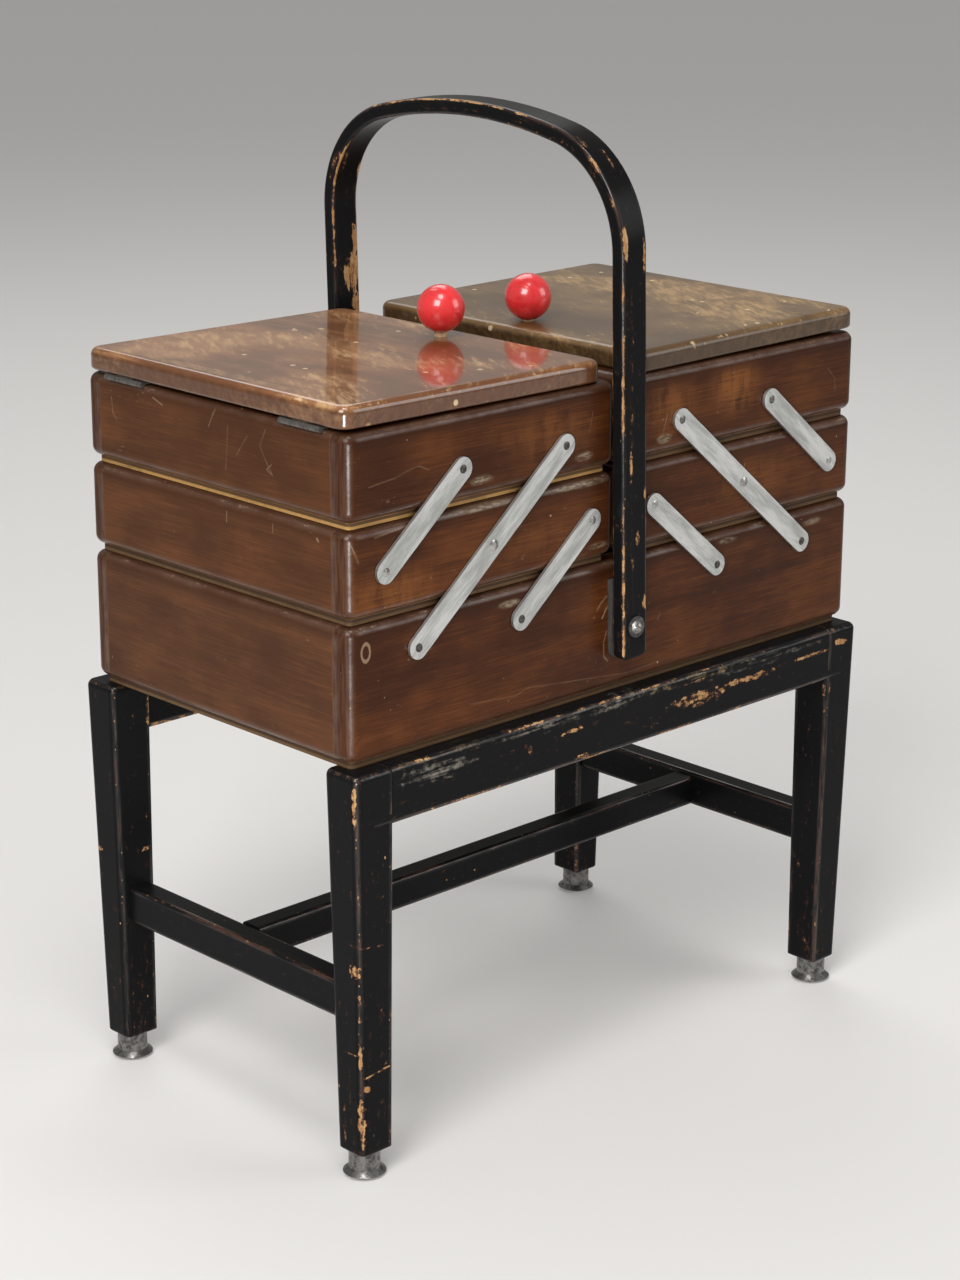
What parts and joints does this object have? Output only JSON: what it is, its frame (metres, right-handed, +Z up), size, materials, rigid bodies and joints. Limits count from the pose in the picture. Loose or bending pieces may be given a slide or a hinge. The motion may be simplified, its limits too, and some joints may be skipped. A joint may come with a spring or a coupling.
{
  "type": "sewing box",
  "caption": "Wooden sewing box on a legged stand: stacked trays swing apart on metal link bars, lids with ball knobs hinge up at the ends, and a bow handle turns over the top.",
  "frame": {"origin": "on the floor, under the middle of the box", "axes": "+X along the length of the box, +Y from the front to the back, +Z up"},
  "size_m": [0.4464, 0.2734, 0.6084],
  "materials": {
    "mahogany_stain": "varnished boards with a dark red-brown stain, worn at the edges",
    "lid_stain": "varnished lid, lighter red-brown, scratched",
    "plywood": "plain plywood",
    "ebonised_wood": "black satin paint, chipped to bare wood at the edges",
    "spacer_wood": "grey-brown bare wood",
    "red_lacquer": "glossy red lacquer on wood",
    "peg_wood": "bare pale wood",
    "bar_metal": "brushed flat bar",
    "hinge_steel": "tarnished steel",
    "pin_steel": "dull steel pins",
    "screw_steel": "worn plated steel",
    "glide_steel": "worn plated steel"
  },
  "bodies": {
    "case": {"back_rail": "ebonised_wood", "case_back": "mahogany_stain", "case_bottom": "plywood", "case_front": "mahogany_stain", "case_left_end": "mahogany_stain", "case_pivot_pins": "pin_steel", "case_right_end": "mahogany_stain", "centre_stretcher": "ebonised_wood", "front_rail": "ebonised_wood", "handle_screws": "screw_steel", "handle_washers": "screw_steel", "left_back_leg": "ebonised_wood", "left_front_leg": "ebonised_wood", "left_stretcher": "ebonised_wood", "leg_glides": "glide_steel", "right_back_leg": "ebonised_wood", "right_front_leg": "ebonised_wood", "right_stretcher": "ebonised_wood", "stand_screws": "screw_steel"},
    "left_long_bars": {"left_long_bars": "bar_metal"},
    "left_inner_bars": {"left_inner_bars": "bar_metal"},
    "left_outer_bars": {"left_outer_bars": "bar_metal"},
    "left_middle_tray": {"left_middle_tray_back": "mahogany_stain", "left_middle_tray_bottom": "plywood", "left_middle_tray_ends": "mahogany_stain", "left_middle_tray_front": "mahogany_stain", "left_middle_tray_pins": "pin_steel"},
    "left_upper_tray": {"left_upper_tray_back": "mahogany_stain", "left_upper_tray_bottom": "plywood", "left_upper_tray_ends": "mahogany_stain", "left_upper_tray_front": "mahogany_stain", "left_upper_tray_pins": "pin_steel", "left_hinge_tray_leaves": "hinge_steel", "left_hinge_pins": "hinge_steel"},
    "left_lid": {"left_lid": "lid_stain", "left_knob": "red_lacquer", "left_knob_peg": "peg_wood", "left_hinge_lid_leaves": "hinge_steel"},
    "right_long_bars": {"right_long_bars": "bar_metal"},
    "right_inner_bars": {"right_inner_bars": "bar_metal"},
    "right_outer_bars": {"right_outer_bars": "bar_metal"},
    "right_middle_tray": {"right_middle_tray_back": "mahogany_stain", "right_middle_tray_bottom": "plywood", "right_middle_tray_ends": "mahogany_stain", "right_middle_tray_front": "mahogany_stain", "right_middle_tray_pins": "pin_steel"},
    "right_upper_tray": {"right_upper_tray_back": "mahogany_stain", "right_upper_tray_bottom": "plywood", "right_upper_tray_ends": "mahogany_stain", "right_upper_tray_front": "mahogany_stain", "right_upper_tray_pins": "pin_steel", "right_hinge_tray_leaves": "hinge_steel", "right_hinge_pins": "hinge_steel"},
    "right_lid": {"right_lid": "lid_stain", "right_knob": "red_lacquer", "right_knob_peg": "peg_wood", "right_hinge_lid_leaves": "hinge_steel"},
    "handle": {"handle_bow": "ebonised_wood", "handle_spacers": "spacer_wood"}
  },
  "joints": [
    {"name": "left_fold", "type": "hinge", "parent": "case", "child": "left_long_bars", "pos_m": [-0.16896, 0, 0.321], "axis": [0, -1, 0], "range_deg": [0, 100.2]},
    {"name": "left_inner_bar_turn", "type": "hinge", "parent": "case", "child": "left_inner_bars", "pos_m": [-0.08668, 0, 0.321], "axis": [0, -1, 0], "range_deg": [0, 100.2]},
    {"name": "left_middle_tray_turn", "type": "hinge", "parent": "left_long_bars", "child": "left_middle_tray", "pos_m": [-0.10978, 0, 0.3704], "axis": [0, -1, 0], "range_deg": [-100.2, 0]},
    {"name": "left_upper_tray_turn", "type": "hinge", "parent": "left_long_bars", "child": "left_upper_tray", "pos_m": [-0.0506, 0, 0.4198], "axis": [0, -1, 0], "range_deg": [-100.2, 0]},
    {"name": "left_outer_bar_turn", "type": "hinge", "parent": "left_middle_tray", "child": "left_outer_bars", "pos_m": [-0.1936, 0, 0.3704], "axis": [0, -1, 0], "range_deg": [0, 100.2]},
    {"name": "left_lid_hinge", "type": "hinge", "parent": "left_upper_tray", "child": "left_lid", "pos_m": [-0.2198, 0, 0.4519], "axis": [0, -1, 0], "range_deg": [0, 160]},
    {"name": "right_fold", "type": "hinge", "parent": "case", "child": "right_long_bars", "pos_m": [0.16896, 0, 0.321], "axis": [0, 1, 0], "range_deg": [0, 100.2]},
    {"name": "right_inner_bar_turn", "type": "hinge", "parent": "case", "child": "right_inner_bars", "pos_m": [0.08668, 0, 0.321], "axis": [0, 1, 0], "range_deg": [0, 100.2]},
    {"name": "right_middle_tray_turn", "type": "hinge", "parent": "right_long_bars", "child": "right_middle_tray", "pos_m": [0.10978, 0, 0.3704], "axis": [0, 1, 0], "range_deg": [-100.2, 0]},
    {"name": "right_upper_tray_turn", "type": "hinge", "parent": "right_long_bars", "child": "right_upper_tray", "pos_m": [0.0506, 0, 0.4198], "axis": [0, 1, 0], "range_deg": [-100.2, 0]},
    {"name": "right_outer_bar_turn", "type": "hinge", "parent": "right_middle_tray", "child": "right_outer_bars", "pos_m": [0.1936, 0, 0.3704], "axis": [0, 1, 0], "range_deg": [0, 100.2]},
    {"name": "right_lid_hinge", "type": "hinge", "parent": "right_upper_tray", "child": "right_lid", "pos_m": [0.2198, 0, 0.4519], "axis": [0, 1, 0], "range_deg": [0, 160]},
    {"name": "handle_turn", "type": "hinge", "parent": "case", "child": "handle", "pos_m": [0, 0, 0.3008], "axis": [0, 1, 0], "range_deg": [-45, 48]}
  ],
  "couplings": [
    {"joint": "left_inner_bar_turn", "follows": "left_fold", "ratio": 1},
    {"joint": "left_middle_tray_turn", "follows": "left_fold", "ratio": -1},
    {"joint": "left_upper_tray_turn", "follows": "left_fold", "ratio": -1},
    {"joint": "left_outer_bar_turn", "follows": "left_fold", "ratio": 1},
    {"joint": "right_inner_bar_turn", "follows": "right_fold", "ratio": 1},
    {"joint": "right_middle_tray_turn", "follows": "right_fold", "ratio": -1},
    {"joint": "right_upper_tray_turn", "follows": "right_fold", "ratio": -1},
    {"joint": "right_outer_bar_turn", "follows": "right_fold", "ratio": 1}
  ]
}
